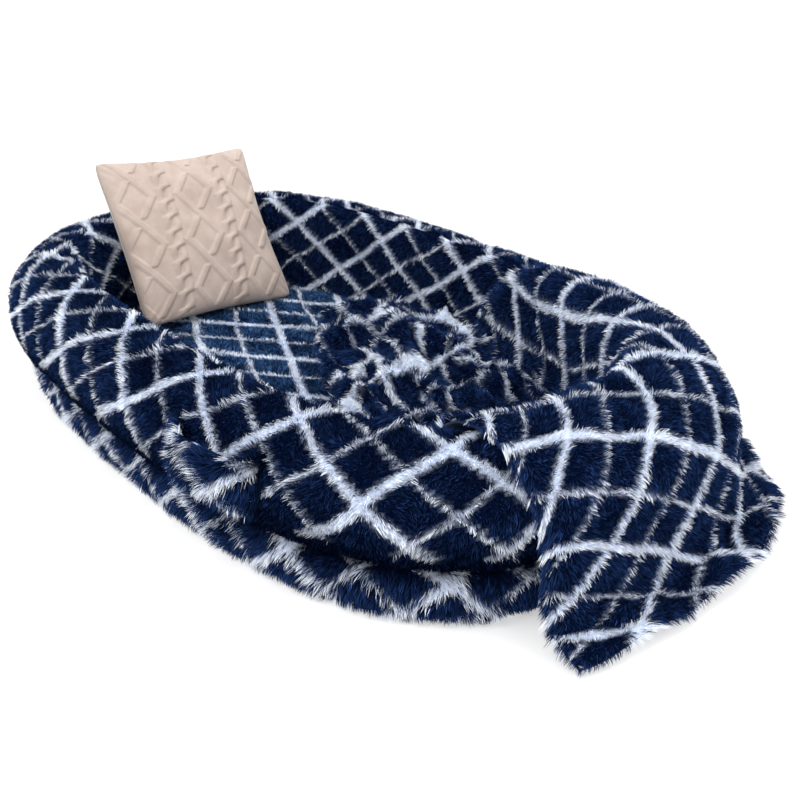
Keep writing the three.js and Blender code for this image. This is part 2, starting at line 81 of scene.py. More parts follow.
THICK_LINE = 0.0074             # half widths
THIN_LINE = 0.0024
OUTER_DIAMOND = (0.278, 0.220, (4.130, -0.045))     # length, height and a corner of the diamonds
INNER_DIAMOND = (0.338, 0.210, (1.420, 0.060))
BASE_DIAMOND = (0.278, 0.220, (3.700, 0.050))
POCKET_DIAMOND = (0.278, 0.220, (0.030, 0.020))
PAD_LINES = ((25.0, 0.200, -0.063), (-40.0, 0.190, 0.091))      # angle, period and offset
BLANKET_LINES = ((39.7, 0.172, 0.585), (-38.3, 0.172, 0.885))
WANDER = 0.005
CREASE_ON_RIM = (0.055, 0.125)  # distances from the rim's foot where the crease is full and ends
# share of the colour taken away by the shade painted into the rim's crease
CREASE_PAINTED_SHADE = 0.87
PAD_TONE = (5.2, 5.2, 3.7)      # how much lighter than the rim's navy, per colour

# Strand colours at the root and the tip. The darker roots are painted shade deep in the pile; the lighter
# navy tips are partly a painted sheen.
NAVY_ROOT = np.array([0.0012, 0.0034, 0.0150])
NAVY_TIP = np.array([0.0100, 0.0250, 0.0820])
WHITE_ROOT = np.array([0.60, 0.67, 0.82])
WHITE_TIP = np.array([0.94, 0.97, 1.0])

PILE_SHARE = 1.0
STRANDS_PER_PIECE = 60000
STRAND_WIDTH = 0.0014


# ---- camera, light and stage

def add_object(name, data):
    thing = bpy.data.objects.new(name, data)
    bpy.context.scene.collection.objects.link(thing)
    return thing


def set_camera():
    azimuth = math.radians(50.0)
    elevation = math.radians(26.7)
    distance = 2.155
    target = Vector((0.307, -0.035, 0.15))
    back = Vector((
        math.sin(azimuth) * math.cos(elevation),
        -math.cos(azimuth) * math.cos(elevation),
        math.sin(elevation),
    ))
    data = bpy.data.cameras.new("camera")
    data.lens = 46.8
    data.sensor_width = 36.0
    data.clip_start = 0.05
    camera = add_object("camera", data)
    camera.location = target + distance * back
    camera.rotation_euler = back.to_track_quat("Z", "Y").to_euler()
    bpy.context.scene.camera = camera


def add_area_light(name, place, aim, size, power):
    data = bpy.data.lights.new(name, "AREA")
    data.shape = "SQUARE"
    data.size = size
    data.energy = power
    light = add_object(name, data)
    light.location = place
    direction = Vector(place) - Vector(aim)
    light.rotation_euler = direction.to_track_quat("Z", "Y").to_euler()


def set_light():
    world = bpy.data.worlds.new("studio")
    world.use_nodes = True
    background = world.node_tree.nodes["Background"]
    background.inputs["Color"].default_value = (1, 1, 1, 1)
    background.inputs["Strength"].default_value = 1.0
    bpy.context.scene.world = world
    add_area_light("key", (0.6, -2.2, 2.6), (0.1, 0, 0.2), 1.6, 60)
    add_area_light("fill", (2.6, 0.6, 1.6), (0.3, 0, 0.2), 1.8, 22)
    add_area_light("top", (-0.8, 1.0, 3.0), (0, 0, 0.1), 1.8, 40)
    scene = bpy.context.scene
    scene.view_settings.view_transform = "Standard"
    scene.view_settings.look = "None"


def set_floor():
    mesh = bpy.data.meshes.new("floor")
    reach = 12.0
    corners = [(-reach, -reach, 0), (reach, -reach, 0), (reach, reach, 0), (-reach, reach, 0)]
    mesh.from_pydata(corners, [], [(0, 1, 2, 3)])
    floor = add_object("floor", mesh)
    material = plain_material("floor", (0.6, 0.6, 0.6), 0.9)
    shader = material.node_tree.nodes["Principled BSDF"]
    shader.inputs["Emission Color"].default_value = (1, 1, 1, 1)
    shader.inputs["Emission Strength"].default_value = 0.45
    floor.data.materials.append(material)


# ---- materials

def new_material(name, roughness, metallic=0.0, specular=0.3, sheen=0.0, sheen_roughness=0.5):
    material = bpy.data.materials.new(name)
    material.use_nodes = True
    shader = material.node_tree.nodes["Principled BSDF"]
    shader.inputs["Roughness"].default_value = roughness
    shader.inputs["Metallic"].default_value = metallic
    shader.inputs["Specular IOR Level"].default_value = specular
    shader.inputs["Sheen Weight"].default_value = sheen
    shader.inputs["Sheen Roughness"].default_value = sheen_roughness
    return material, material.node_tree, shader


def plain_material(name, colour, roughness):
    material, _, shader = new_material(name, roughness)
    shader.inputs["Base Color"].default_value = (*colour, 1)
    return material


def add_node(tree, kind, inputs=(), **settings):
    node = tree.nodes.new(kind)
    for key, value in settings.items():
        setattr(node, key, value)
    for key, value in dict(inputs).items():
        if isinstance(value, bpy.types.NodeSocket):
            tree.links.new(value, node.inputs[key])
        else:
            node.inputs[key].default_value = value
    return node


def math_node(tree, operation, first, second):
    return add_node(tree, "ShaderNodeMath", {0: first, 1: second}, operation=operation).outputs[0]


def object_point(tree, scale=(1, 1, 1)):
    """Object coordinates times a scale for each axis."""
    coordinates = add_node(tree, "ShaderNodeTexCoord").outputs["Object"]
    mapping = add_node(tree, "ShaderNodeMapping", {"Vector": coordinates, "Scale": scale})
    return mapping.outputs["Vector"]


def noise(tree, vector, scale, detail=3.0):
    node = add_node(tree, "ShaderNodeTexNoise", {"Vector": vector, "Scale": scale, "Detail": detail})
    return node.outputs["Fac"]


def two_tone(tree, factor, low, high, start=0.35, end=0.65):
    ramp = add_node(tree, "ShaderNodeValToRGB", {"Fac": factor})
    ramp.color_ramp.elements[0].position = start
    ramp.color_ramp.elements[0].color = (*low, 1)
    ramp.color_ramp.elements[1].position = end
    ramp.color_ramp.elements[1].color = (*high, 1)
    return ramp.outputs["Color"]


def set_bump(tree, shader, height, strength, distance):
    bump = add_node(tree, "ShaderNodeBump", {"Height": height, "Strength": strength, "Distance": distance})
    tree.links.new(bump.outputs["Normal"], shader.inputs["Normal"])


def painted_material(name, roughness, sheen, low=0.8, high=1.15, scale=90, bump=0.5):
    """Colour from the mesh's own attribute, varied by a noise, with a bump of the same noise."""
    material, tree, shader = new_material(name, roughness, specular=0.0, sheen=sheen)
    colour = add_node(tree, "ShaderNodeAttribute", attribute_name="Col").outputs["Color"]
    grain = noise(tree, object_point(tree), scale)
    shade = two_tone(tree, grain, (low,) * 3, (high,) * 3)
    mix = add_node(tree, "ShaderNodeMix", data_type="RGBA", blend_type="MULTIPLY")
    mix.inputs["Factor"].default_value = 1.0
    tree.links.new(colour, mix.inputs["A"])
    tree.links.new(shade, mix.inputs["B"])
    tree.links.new(mix.outputs["Result"], shader.inputs["Base Color"])
    if bump:
        set_bump(tree, shader, grain, bump, 0.002)
    return material


def mottled_material(name, low, high, roughness, scale, bump, distance, metallic=0.0, sheen=0.0,
                     stretch=(1, 1, 1), specular=0.3):
    """Two close colours and a bump from one stretched noise."""
    material, tree, shader = new_material(name, roughness, metallic, specular, sheen)
    grain = noise(tree, object_point(tree, stretch), scale, 5.0)
    tree.links.new(two_tone(tree, grain, low, high), shader.inputs["Base Color"])
    set_bump(tree, shader, grain, bump, distance)
    return material


def woven_material(name, low, high, roughness, pitch, bump, sheen=0.2):
    """A plain weave: two sets of bands across each other."""
    material, tree, shader = new_material(name, roughness, sheen=sheen)
    point = object_point(tree)
    bands = []
    settings = {"Vector": point, "Scale": 0.5 / pitch, "Distortion": 0.6}
    for direction in ("X", "Z"):
        wave = add_node(tree, "ShaderNodeTexWave", settings, wave_type="BANDS", bands_direction=direction)
        bands.append(wave.outputs["Fac"])
    weave = math_node(tree, "MULTIPLY", *bands)
    uneven = noise(tree, point, 60)
    mixed = math_node(tree, "ADD", weave, uneven)
    half = math_node(tree, "MULTIPLY", mixed, 0.5)
    tree.links.new(two_tone(tree, half, low, high), shader.inputs["Base Color"])
    set_bump(tree, shader, weave, bump, 0.0006)
    return material


def dotted_material(name, cloth, dot, pitch):
    """Non-woven cloth with moulded grip dots."""
    material, tree, shader = new_material(name, 0.85, specular=0.25)
    dot_radius = 0.28                # as a share of the pitch
    settings = {"Vector": object_point(tree, (1, 1, 0)), "Scale": 1 / pitch, "Randomness": 0.0}
    cells = add_node(tree, "ShaderNodeTexVoronoi", settings)
    inside = math_node(tree, "LESS_THAN", cells.outputs["Distance"], dot_radius)
    colour = add_node(tree, "ShaderNodeMix", data_type="RGBA")
    tree.links.new(inside, colour.inputs["Factor"])
    colour.inputs["A"].default_value = (*cloth, 1)
    colour.inputs["B"].default_value = (*dot, 1)
    tree.links.new(colour.outputs["Result"], shader.inputs["Base Color"])
    set_bump(tree, shader, inside, 0.8, 0.001)
    return material


def knit_material():
    """Beige brushed knit: fine stitches and a soft uneven nap."""
    material, tree, shader = new_material("knit", 0.92, specular=0.2, sheen=0.35, sheen_roughness=0.4)
    point = object_point(tree)
    nap = noise(tree, point, 26, 4.0)
    colour = two_tone(tree, nap, (0.41, 0.325, 0.280), (0.49, 0.400, 0.350), 0.3, 0.7)
    tree.links.new(colour, shader.inputs["Base Color"])
    stitches = add_node(tree, "ShaderNodeTexVoronoi", {"Vector": point, "Scale": 330.0}).outputs["Distance"]
    fuzz = noise(tree, point, 700, 2.0)
    set_bump(tree, shader, math_node(tree, "ADD", stitches, fuzz), 0.55, 0.0012)
    return material


# ---- numpy helpers

def unit(vectors):
    return vectors / np.maximum(np.linalg.norm(vectors, axis=-1, keepdims=True), 1e-12)


def smoothstep(values, low, high):
    t = np.clip((values - low) / (high - low), 0, 1)
    return t * t * (3 - 2 * t)


def smooth_noise(points, wavelength, seed, waves=10):
    """A soft field of about -1 to 1: a sum of sine waves in random directions."""
    random = np.random.default_rng(seed)
    total = np.zeros(points.shape[:-1])
    for _ in range(waves):
        direction = random.normal(size=points.shape[-1])
        direction *= 2 * math.pi / wavelength * random.uniform(0.6, 1.5) / np.linalg.norm(direction)
        total += np.sin(points @ direction + random.uniform(0, 2 * math.pi))
    return total / math.sqrt(waves / 2) / 1.6


def noise_pair(points, wavelength, seed):
    """Two unrelated soft fields, for a shift in the pattern plane."""
    return np.stack([smooth_noise(points, wavelength, seed + k) for k in (0, 1)], axis=-1)


def arc_lengths(points):
    steps = np.linalg.norm(np.diff(points, axis=0), axis=-1)
    return np.concatenate([[0.0], np.cumsum(steps)])


def resample(points, count):
    """The same line with its points at even distances."""
    lengths = arc_lengths(points)
    wanted = np.linspace(0, lengths[-1], count)
    return np.stack([np.interp(wanted, lengths, points[:, k]) for k in range(points.shape[1])], axis=-1)


def signed_power(values):
    return np.sign(values) * np.abs(values) ** (2 / OUTLINE_POWER)


def outline(angle, inset):
    """Plan points this far inside the bed's outline; the head end is deeper."""
    head = np.maximum(0, -np.cos(angle)) ** 6
    shifted = inset + HEAD_EXTRA_INSET * head * smoothstep(inset, 0, WALL_INSET)
    x = (HALF_LENGTH - shifted) * signed_power(np.cos(angle))
    y = (HALF_WIDTH - shifted) * signed_power(np.sin(angle))
    return np.stack([x, y], axis=-1)


def even_angles(count, first=0.0, last=2 * math.pi):
    """Angles that split the outline evenly, with both ends."""
    fine = np.linspace(first, last, 4001)
    lengths = arc_lengths(outline(fine, 0.0))
    return np.interp(np.linspace(0, lengths[-1], count), lengths, fine)


def inset_of(x, y):
    low = np.full(np.shape(x), -0.4)
    high = np.full(np.shape(x), HALF_WIDTH - 0.001)
    for _ in range(34):
        middle = (low + high) / 2
        reach = (np.abs(x) / (HALF_LENGTH - middle)) ** OUTLINE_POWER
        reach = reach + (np.abs(y) / (HALF_WIDTH - middle)) ** OUTLINE_POWER
        low = np.where(reach < 1, middle, low)
        high = np.where(reach < 1, high, middle)
    return low


def grid_normals(points, closed):
    if closed:
        ring = points[:-1]
        along = np.roll(ring, -1, axis=0) - np.roll(ring, 1, axis=0)
        along = np.concatenate([along, along[:1]])
    else:
        along = np.gradient(points, axis=0)
    across = np.gradient(points, axis=1)
    return unit(np.cross(along, across))


def facing(normals, axis, sign):
    """The same normals, turned over if those of the first rows' middle don't point along sign * axis."""
    middle = normals[:, normals.shape[1] // 2, axis]
    first = middle[0] if axis == 0 else np.mean(middle)
    return normals if first * sign > 0 else -normals


# ---- meshes

def mesh_object(name, points, faces, material, body, colours=None, smooth=True):
    """faces is a list of integer arrays, each of faces with the same number of corners."""
    mesh = bpy.data.meshes.new(name)
    corners = np.concatenate([part.ravel() for part in faces])
    sizes = np.concatenate([np.full(len(part), part.shape[1]) for part in faces])
    starts = np.concatenate([[0], np.cumsum(sizes)[:-1]])
    mesh.vertices.add(len(points))
    mesh.vertices.foreach_set("co", np.asarray(points, np.float32).ravel())
    mesh.loops.add(len(corners))
    mesh.loops.foreach_set("vertex_index", corners.astype(np.int32))
    mesh.polygons.add(len(sizes))
    mesh.polygons.foreach_set("loop_start", starts.astype(np.int32))
    mesh.update(calc_edges=True)
    mesh.validate()
    mesh.polygons.foreach_set("use_smooth", np.full(len(mesh.polygons), smooth))
    if colours is not None:
        attribute = mesh.color_attributes.new("Col", "FLOAT_COLOR", "POINT")
        solid = np.concatenate([colours, np.ones((len(colours), 1))], axis=1)
        attribute.data.foreach_set("color", solid.astype(np.float32).ravel())
    piece = add_object(name, mesh)
    mesh.materials.append(material)
    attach(piece, body)
    return piece


def grid_quads(rows, columns, wrap_rows=False, wrap_columns=False, start=0):
    r = np.arange(rows if wrap_rows else rows - 1)[:, None]
    c = np.arange(columns if wrap_columns else columns - 1)[None, :]
    below = (r + 1) % rows
    after = (c + 1) % columns
    corners = [r * columns + c, below * columns + c, below * columns + after, r * columns + after]
    return start + np.stack([np.broadcast_to(k, (r.size, c.size)).ravel() for k in corners], axis=1)


def shell_faces(rows, columns):
    """Faces of a closed sheet: an upper grid, a lower grid, and the wall between their edges."""
    count = rows * columns
    index = np.arange(count).reshape(rows, columns)
    rim = np.concatenate([index[0, :-1], index[:-1, -1], index[-1, :0:-1], index[:0:-1, 0]])
    after = np.roll(rim, -1)
    wall = np.stack([rim, after, after + count, rim + count], axis=1)
    top = grid_quads(rows, columns)
    bottom = grid_quads(rows, columns, start=count)[:, ::-1]
    return [np.concatenate([top, wall, bottom])]


def outward_faces(points, faces):
    """Turns every face over if the closed mesh is inside out."""
    volume = 0.0
    for part in faces:
        a = points[part[:, 0]]
        for k in range(1, part.shape[1] - 1):
            volume += np.einsum("ij,ij->", a, np.cross(points[part[:, k]], points[part[:, k + 1]]))
    return faces if volume > 0 else [part[:, ::-1] for part in faces]


def closed_mesh(name, points, faces, material, body, colours=None, smooth=True):
    return mesh_object(name, points, outward_faces(points, faces), material, body, colours, smooth)


def cloth_shell(name, outside, inside, material, body, colours=None):
    """A closed sheet of cloth between two grids; the colours are those of one face."""
    points = np.concatenate([outside.reshape(-1, 3), inside.reshape(-1, 3)])
    if colours is not None:
        colours = np.tile(colours, (2, 1))
    return closed_mesh(name, points, shell_faces(*outside.shape[:2]), material, body, colours)


def stands_padded(node):
    """Hides the CAD node; the skin built here is shown in its place."""
    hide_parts(node)


# ---- pattern

def straight_lines(families):
    """Steps per metre along the pattern's two axes, and the start, of each family of parallel lines."""
    found = []
    for degrees, period, offset in families:
        angle = math.radians(degrees)
        found.append((math.sin(angle) / period, math.cos(angle) / period, offset / period))
    return found


def diamond_lines(length, height, corner):
    """The two families that enclose diamonds of this length and height, crossing at the corner."""
    return [(1 / length, side / height, corner[0] / length + side * corner[1] / height) for side in (1, -1)]


def line_depth(pattern, lines):
    """How far inside a white line a pattern point is; negative between the lines."""
    depth = np.full(pattern.shape[:-1], -1.0)
    for along, across, start in lines:
        phase = pattern[..., 0] * along + pattern[..., 1] * across - start
        gap = 1 / math.hypot(along, across)
        to_thick = np.abs(phase - np.round(phase)) * gap
        to_thin = np.abs(phase - 0.5 - np.round(phase - 0.5)) * gap
        depth = np.maximum(depth, np.maximum(THICK_LINE - to_thick, THIN_LINE - to_thin))
    return depth


def wandered(pattern, points, seed):
    """The pattern coordinates with slow uneven shifts, as of a printed cloth that was stuffed."""
    return pattern + WANDER * noise_pair(points, 0.20, seed)


def white_lost_in_painted_shade(shade):
    """How much of a white line's half width is taken away where shade is painted into a crease, so the
    lines fade into the painted shade.
    """
    return 0.02 * smoothstep(1 - shade, 0.50, 0.80)


def skin_colours(depth, shade=1.0):
    # The skin under the pile takes the strands' root colours, painted darker as the shade in the pile,
    # times the painted shade of creases and seams.
    shade = np.asarray(shade)
    white = smoothstep(depth - white_lost_in_painted_shade(shade), -0.004, 0.004)[..., None]
    colours = NAVY_ROOT * 1.4 * (1 - white) + WHITE_ROOT * white
    return (colours * shade[..., None]).reshape(-1, 3)


# ---- pile

class Patch:
    """A grid of cloth that carries pile: places, normals, pattern coordinates and fields per point."""

    def __init__(self, points, normals, pattern, lines, **fields):
        self.points = points
        self.normals = normals
        self.pattern = pattern
        self.lines = lines
        ones = np.ones(points.shape[:2])
        # The shade field is a painted shade: a factor on the colours of the pile and its skin.
        plain = {"share": ones, "length": ones, "shade": ones, "flat": 0 * ones, "comb": 0 * points}
        self.fields = {**plain, **fields}


def scatter(patch, density, random):
    """Random places on the patch, with everything it knows interpolated to them."""
    p = patch.points
    area = np.linalg.norm(np.cross(p[1:, :-1] - p[:-1, :-1], p[:-1, 1:] - p[:-1, :-1]), axis=-1) / 2
    area += np.linalg.norm(np.cross(p[1:, 1:] - p[1:, :-1], p[1:, 1:] - p[:-1, 1:]), axis=-1) / 2
    share = patch.fields["share"]
    wanted = area * density * PILE_SHARE * (share[:-1, :-1] + share[1:, 1:]) / 2
    counts = np.floor(wanted + random.random(wanted.shape)).astype(int)
    cell = np.repeat(np.arange(counts.size), counts.ravel())
    row, column = np.divmod(cell, p.shape[1] - 1)
    u = random.random(len(cell))
    v = random.random(len(cell))

    def at(field):
        extra = (slice(None),) + (None,) * (field.ndim - 2)
        s, t = u[extra], v[extra]
        low = field[row, column] * (1 - t) + field[row, column + 1] * t
        high = field[row + 1, column] * (1 - t) + field[row + 1, column + 1] * t
        return low * (1 - s) + high * s

    found = {key: at(value) for key, value in patch.fields.items()}
    found.update(point=at(p), normal=unit(at(patch.normals)), pattern=at(patch.pattern))
    return found


def gather(values, group, count, keep):
    """Moves each row of values towards the mean of its group."""
    sizes = np.maximum(np.bincount(group, minlength=count), 1)
    means = np.stack([np.bincount(group, values[:, k], count) / sizes for k in range(3)], axis=1)
    return values * keep + means[group] * (1 - keep)


def lock_groups(pattern, size, seed):
    """Which lock each strand belongs to: uneven cells of the pattern plane."""
    warp = noise_pair(pattern, size * 3, seed)
    cell = np.floor((pattern + warp * size * 0.9) / size).astype(np.int64)
    row_step = 1000003               # more than the cells in any row
    _, group = np.unique(cell[:, 0] * row_step + cell[:, 1], return_inverse=True)
    return group.ravel()


def grow(patch, density, length, width, seed, upright=0.85, droop=0.27, swirl=0.30, lock=0.010,
         gathered=0.30, ragged=0.0016, tone=1.15, widen=0.0):
    """Strands of the pile: root, middle and tip places, half-width vectors and two colours."""
    random = np.random.default_rng(seed)
    at = scatter(patch, density, random)
    count = len(at["point"])
    normal = at["normal"]
    down = np.array([0.0, 0.0, -1.0])
    hang = down - normal * (normal @ down)[:, None]
    turn = np.stack([smooth_noise(at["point"], 0.11, seed + k) for k in (11, 12, 13)], axis=-1)
    turn -= normal * np.einsum("ij,ij->i", turn, normal)[:, None]
    flat = at["flat"][:, None]
    scatter_way = random.normal(size=(count, 3)) * 0.16 * (1 - flat)
    rise = normal * upright * (1 - 0.93 * flat)
    start_way = unit(rise + hang * droop + turn * swirl + at["comb"] + scatter_way)
    least_rise = 0.08
    outward = np.einsum("ij,ij->i", start_way, normal)[:, None]
    start_way = unit(start_way + normal * np.maximum(least_rise - outward, 0))
    group = lock_groups(at["pattern"], lock, seed + 20)
    locks = group.max() + 1 if count else 0
    lock_size = random.uniform(0.75, 1.25, locks)[group]
    strand = (length * at["length"] * lock_size * random.uniform(0.7, 1.15, count))[:, None]
    end_way = unit(start_way * 0.9 + down * 0.32 * (1 - flat) + turn * 0.25)
    root = at["point"] - normal * 0.001
    middle = root + start_way * strand * 0.5
    tip = middle + end_way * strand * 0.5
    together = gather(tip, group, locks, 1 - gathered)
    tip = tip * flat + together * (1 - flat)
    middle = middle * 0.8 + ((root + tip) / 2 + normal * strand * 0.08) * 0.2
    floor_gap = 0.0015 + 0.002 * random.random(count)
    for place in (root, middle, tip):
        place[:, 2] = np.maximum(place[:, 2], floor_gap)
    side = unit(np.cross(start_way, random.normal(size=(count, 3)))) * width / 2
    side *= random.uniform(0.7, 1.3, count)[:, None]

    depth = line_depth(at["pattern"], patch.lines) + widen - white_lost_in_painted_shade(at["shade"])
    shift = random.normal(size=count) * ragged + random.normal(size=max(locks, 1))[group] * ragged
    white = smoothstep(depth + shift, -0.0006, 0.0006)[:, None]
    light = (random.lognormal(0, 0.42, count) * random.lognormal(0, 0.20, max(locks, 1))[group])[:, None]
    # The painted shade of creases and seams darkens the strands' colours.
    calm = light ** 0.35 * at["shade"][:, None]
    light = light * at["shade"][:, None]
    tone = np.asarray(tone)
    navy = light * (1 - white)
    root_colour = NAVY_ROOT * np.maximum(1, tone / 1.5) * navy + WHITE_ROOT * calm * white
    tip_colour = NAVY_TIP * tone * navy + WHITE_TIP * np.minimum(calm, 1.05) * white
    return root, middle, tip, side, root_colour, tip_colour


def pile_mesh(name, strands, material, body):
    """One mesh of tapering strands, each a quad and a triangle, with a cell of the bake map each."""
    root, middle, tip, side, root_colour, tip_colour = strands
    count = len(root)
    points = np.stack([root - side, root + side, middle - side * 0.8, middle + side * 0.8, tip], axis=1)
    middle_colour = root_colour * 0.45 + tip_colour * 0.55
    colours = np.stack([root_colour, root_colour, middle_colour, middle_colour, tip_colour], axis=1)
    base = 5 * np.arange(count)[:, None]
    quads = base + np.array([[0, 1, 3, 2]])
    triangles = base + np.array([[2, 3, 4]])
    piece = mesh_object(name, points.reshape(-1, 3), [quads, triangles], material, body,
                        colours.reshape(-1, 3))
    side_cells = math.ceil(math.sqrt(count))
    cell = np.stack(np.divmod(np.arange(count), side_cells), axis=1)[:, None, :]
    quad_spots = np.array([[0.15, 0.1], [0.85, 0.1], [0.8, 0.5], [0.2, 0.5]])
    triangle_spots = np.array([[0.2, 0.5], [0.8, 0.5], [0.5, 0.9]])
    spots = [((cell + part) / side_cells).reshape(-1, 2) for part in (quad_spots, triangle_spots)]
    layer = piece.data.uv_layers.new(name="OFBake")
    layer.data.foreach_set("uv", np.concatenate(spots).astype(np.float32).ravel())
    return piece


def add_pile(name, patch, materials, body, slot, density, length, width, seed, **style):
    """The patch's pile, in pieces of a size that keeps every strand when it is exported."""
    strands = grow(patch, density, length, width, seed, **style)
    count = len(strands[0])
    parts = max(1, math.ceil(count / STRANDS_PER_PIECE))
    pieces = []
    for k, rows in enumerate(np.array_split(np.arange(count), parts)):
        label = f"{name}_{k + 1}" if parts > 1 else name
        some = [part[rows] for part in strands]
        pieces.append(pile_mesh(label, some, materials["pile"], body))
    return pieces


# ---- ring surfaces

def quarter(count, start_inset, start_height, run, rise, first, last):
    """Part of an ellipse: its widest point is at the start values."""
    angle = np.radians(np.linspace(first, last, count))
    return np.stack([start_inset + run * (1 - np.cos(angle)), start_height + rise * np.sin(angle)], axis=-1)


def rim_outer_line():
    under = quarter(16, 0, RIM_BULGE, UNDERSIDE_INSET, RIM_BULGE - RIM_UNDERSIDE, -90, 0)
    over = quarter(40, 0, RIM_BULGE, CREST_INSET, RIM_TOP - RIM_BULGE, 0, 90)
    return np.concatenate([under, over[1:]])


def rim_inner_line():
    angle = np.radians(np.linspace(0, 90, 40))
    inset = CREST_INSET + (WALL_INSET - CREST_INSET) * np.sin(angle)
    height = WALL_FOOT + (RIM_TOP - WALL_FOOT) * np.cos(angle)
    return np.stack([inset, height], axis=-1)


def base_outer_line():
    low_side = 0.044
    high_side = 0.076
    bottom = quarter(14, BASE_INSET, low_side, 0.034, low_side - BASE_FOOT, -90, 0)
    top = quarter(14, BASE_INSET, high_side, 0.045, BASE_TOP - high_side, 0, 90)
    return np.concatenate([bottom, top])


def ring_points(line, angles, depth=0.0):
    """Points round the bed, angle by angle, moved inwards from the section line."""
    way = np.gradient(line, axis=0)
    normal = unit(np.stack([way[:, 1], -way[:, 0]], axis=-1))
    moved = line + normal * depth
    plan = outline(angles[:, None], moved[None, :, 0])
    height = np.broadcast_to(moved[None, :, 1:], (len(angles), len(line), 1))
    return np.concatenate([plan, height], axis=-1)


def ring_skin(name, line, angles, pattern, lines, materials, sag, shade):
    face = ring_points(line, angles) + sag
    back = ring_points(line, angles, SKIN_THICKNESS)
    section = np.concatenate([face, back[:, ::-1]], axis=1)[:-1]
    colours = skin_colours(line_depth(pattern, lines), shade)
    colours = colours.reshape(len(angles), len(line), 3)
    colours = np.concatenate([colours, colours[:, ::-1]], axis=1)[:-1].reshape(-1, 3)
    faces = [grid_quads(len(angles) - 1, 2 * len(line), wrap_rows=True, wrap_columns=True)]
    section = section.reshape(-1, 3)
    return closed_mesh(name, section, faces, materials["skin"], "root", colours)


def ring_pattern(line, angles, crest_at, points, seed):
    """Distance round the bed by distance along the section."""
    around = arc_lengths(outline(angles, CREST_INSET / 2))
    section = arc_lengths(line) - crest_at
    along, across = np.meshgrid(around, section, indexing="ij")
    return wandered(np.stack([along, across], axis=-1), points, seed)


def ring_lines(angles, diamond):
    """Diamonds of about this size, a whole number of them round the bed."""
    length, height, corner = diamond
    around = arc_lengths(outline(angles, CREST_INSET / 2))[-1]
    return diamond_lines(around / round(around / length), height, corner)


def undulation(points, amount, wavelength, seed):
    """Outward bulges of the stuffed roll, none inwards."""
    return amount * (0.5 + 0.5 * smooth_noise(points, wavelength, seed))


# ---- the bed

RING_COUNT = 361
SKIN_THICKNESS = 0.004


def covered_by_blanket(points, blanket_plan):
    """1 where the blanket lies over a point, from a raster of the blanket's plan."""
    step = 0.01
    cell = np.floor(blanket_plan / step).astype(int).reshape(-1, 2)
    low = cell.min(0) - 3
    size = cell.max(0) - low + 4
    raster = np.zeros(size)
    for shift in np.ndindex(3, 3):
        raster[tuple((cell - low + np.array(shift) - 1).T)] = 1
    spot = np.clip(np.floor(points[..., :2] / step).astype(int) - low, 0, size - 1)
    return raster[spot[..., 0], spot[..., 1]]


def build_rim(materials, blanket_plan):
    angles = even_angles(RING_COUNT)
    outer = resample(rim_outer_line(), 44)
    inner = resample(rim_inner_line(), 30)
    outer_length = arc_lengths(outer)[-1]
    jobs = (
        ("rim_outer", outer, outer_length, 0.015, "rim_outer_panel", 101, 0.0035, OUTER_DIAMOND),
        ("rim_inner", inner, 0.0, 0.013, "rim_inner_panel", 202, 0.0, INNER_DIAMOND),
    )
    for name, line, crest_at, length, node, seed, bulge, diamond in jobs:
        points = ring_points(line, angles)
        pattern = ring_pattern(line, angles, crest_at, points, seed + 50)
        lines = ring_lines(angles, diamond)
        normals = facing(grid_normals(points, True), 0, 1 if name == "rim_outer" else -1)
        hidden = covered_by_blanket(points, blanket_plan) * (points[..., 2] > 0.02)
        sag = normals * (undulation(points, bulge, 0.16, seed) * (1 - hidden))[..., None]
        from_foot = np.broadcast_to(arc_lengths(line), points.shape[:2])
        crease = (1 - smoothstep(from_foot, *CREASE_ON_RIM)) * (name == "rim_outer")
        # Painted shade in the crease over the base: the rim's skin and strand colours are darkened towards
        # its foot.
        shade = 1 - CREASE_PAINTED_SHADE * crease
        skin = ring_skin(name + "_skin", line, angles, pattern, lines, materials, sag, shade)
        stands_padded(node)
        patch = Patch(points + sag, normals, pattern, lines, flat=hidden * 0.95,
                      length=(1 - 0.3 * hidden) * (1 - 0.5 * crease), shade=shade)
        add_pile(name + "_pile", patch, materials, "root", "long_plush", 128000, length, STRAND_WIDTH, seed)


def build_base(materials, blanket_plan):
    angles = even_angles(RING_COUNT)
    line = resample(base_outer_line(), 26)
    whole = np.concatenate([[[BASE_CORE_INSET, BASE_FOOT]], line, [[BASE_CORE_INSET, BASE_TOP]]])
    points = ring_points(whole, angles)
    pattern = ring_pattern(whole, angles, 0.02, points, 353)
    lines = ring_lines(angles, BASE_DIAMOND)
    normals = facing(grid_normals(points, True), 0, 1)
    hidden = covered_by_blanket(points, blanket_plan)
    height = points[..., 2]
    near_zip = (np.abs(height - ZIP_HEIGHT) < 0.021) & (np.abs(points[..., 0]) < COIL_HIGH.x + 0.02)
    near_zip &= points[..., 1] > 0.3
    inset = np.broadcast_to(whole[:, 0], height.shape)
    under_rim = inset > 0.075
    share = np.where(under_rim | near_zip, 0.0, 1.0)
    # Painted shade in the crease under the rim: the base's colours are darkened towards its top, and taken
    # times 1.1 elsewhere.
    crease = smoothstep(inset, BASE_INSET - 0.001, BASE_INSET + 0.020) * (height > 0.075)
    shade = 1.1 - 0.95 * crease
    skin = ring_skin("base_skin", whole, angles, pattern, lines, materials, 0, shade)
    stands_padded("base_band")
    patch = Patch(points, normals, pattern, lines, share=share, flat=hidden * 0.9,
                  length=(1 - 0.35 * hidden) * (1 - 0.4 * crease), shade=shade)
    add_pile("base_pile", patch, materials, "root", "long_plush", 125000, 0.022, STRAND_WIDTH, 303,
             droop=0.45, gathered=0.4, ragged=0.0032, tone=1.4)


def pad_height(x, y):
    inset = inset_of(x, y)
    return PAD_EDGE_TOP + PAD_CROWN * smoothstep(inset, WALL_INSET, WALL_INSET + 0.25)


